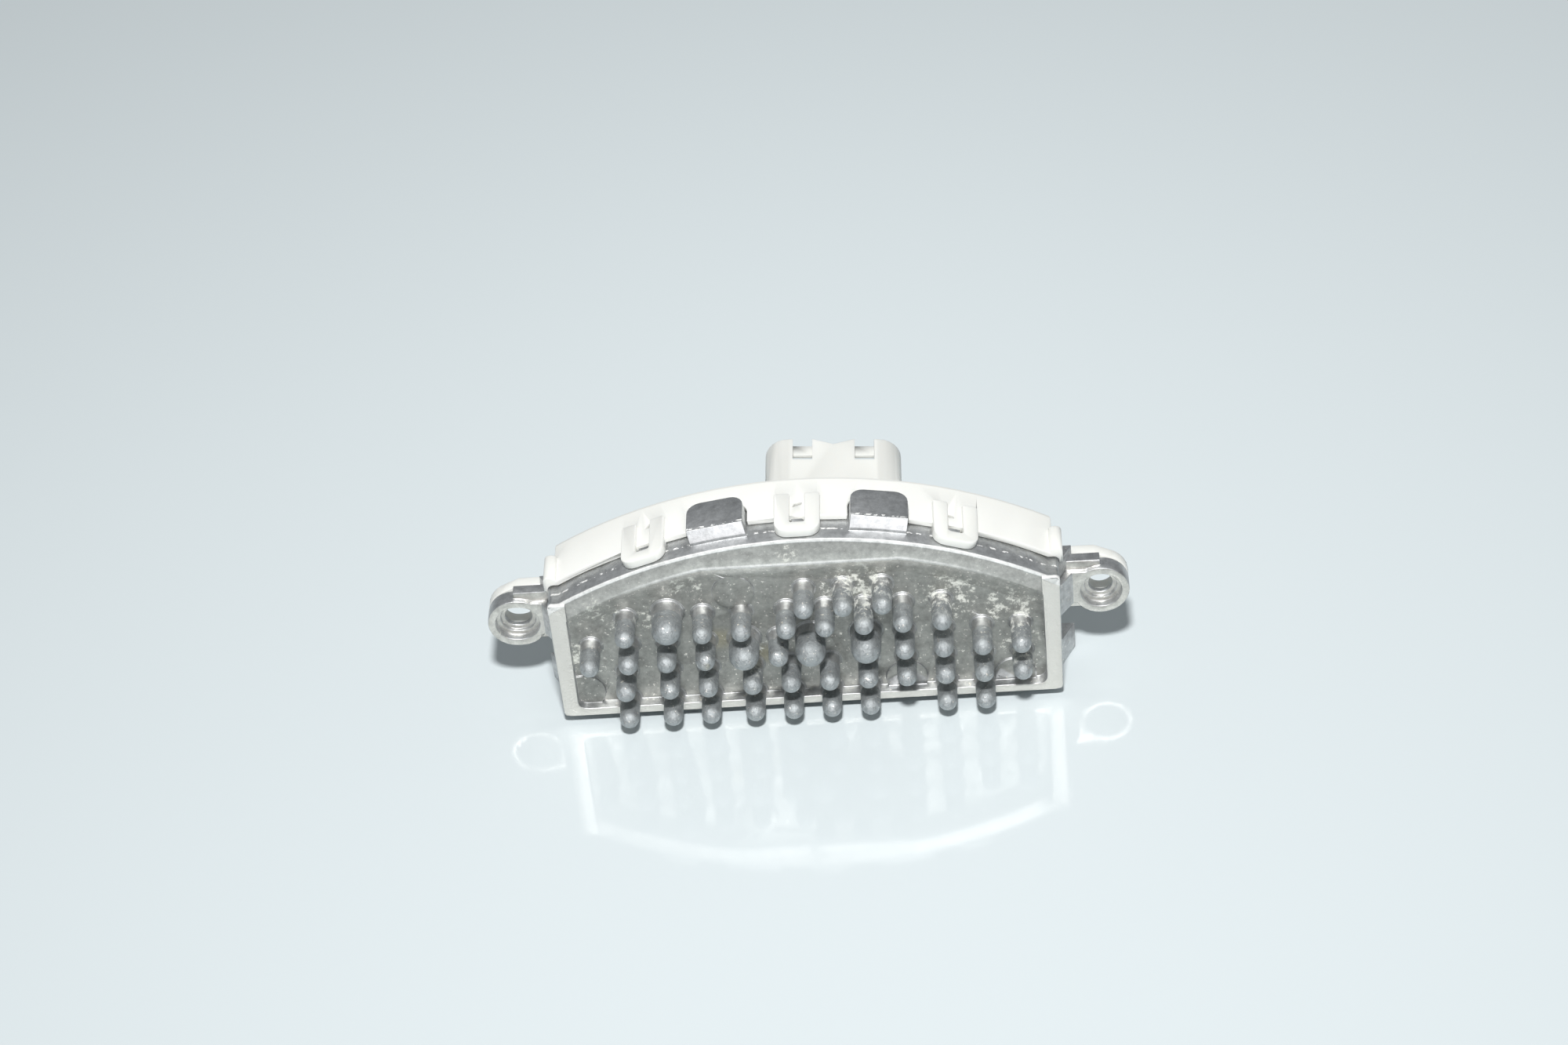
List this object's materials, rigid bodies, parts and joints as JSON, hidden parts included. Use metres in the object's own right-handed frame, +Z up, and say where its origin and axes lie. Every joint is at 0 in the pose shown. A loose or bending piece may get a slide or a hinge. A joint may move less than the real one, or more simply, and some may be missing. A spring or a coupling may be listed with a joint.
{
  "type": "blower motor resistor",
  "caption": "Car heater blower speed controller: die-cast heat sink with an arched frame and round cooling pins, and a white clipped cover with a plug socket.",
  "frame": {"origin": "bottom centre of the whole part, under its foot", "axes": "+X along the width to the right, +Y from the pins to the plug socket, +Z up"},
  "size_m": [0.1152, 0.042, 0.0422],
  "materials": {
    "cast_aluminium": "die-cast, dusty",
    "white_plastic": "moulded",
    "tinned_brass": "tin plated",
    "steel": "zinc plated",
    "circuit_board": "lacquered",
    "black_plastic": "moulded",
    "rubber": "moulded",
    "thermal_pad": "soft sheet",
    "can_aluminium": "drawn",
    "ferrite": "sintered",
    "copper": "drawn"
  },
  "bodies": {
    "root": {"heat_sink": "cast_aluminium", "housing": "white_plastic", "power_terminal_left": "tinned_brass", "power_terminal_right": "tinned_brass", "signal_terminal_left": "tinned_brass", "signal_terminal_right": "tinned_brass", "terminal_carrier": "white_plastic", "circuit_board": "circuit_board", "board_screw_1": "steel", "board_screw_2": "steel", "board_screw_3": "steel", "clamp_screw": "steel", "transistor_clamp": "steel", "power_transistor_left": "black_plastic", "power_transistor_right": "black_plastic", "thermal_pad_left": "thermal_pad", "thermal_pad_right": "thermal_pad", "capacitor_can": "can_aluminium", "capacitor_bung": "rubber", "choke_core": "ferrite", "choke_winding": "copper", "shunt_resistor": "copper", "control_chip": "black_plastic", "driver_chip": "black_plastic", "suppressor_diode": "black_plastic", "chip_capacitor_1": "ferrite", "chip_capacitor_2": "ferrite", "chip_resistor_1": "black_plastic", "chip_resistor_2": "black_plastic"}
  },
  "joints": []
}
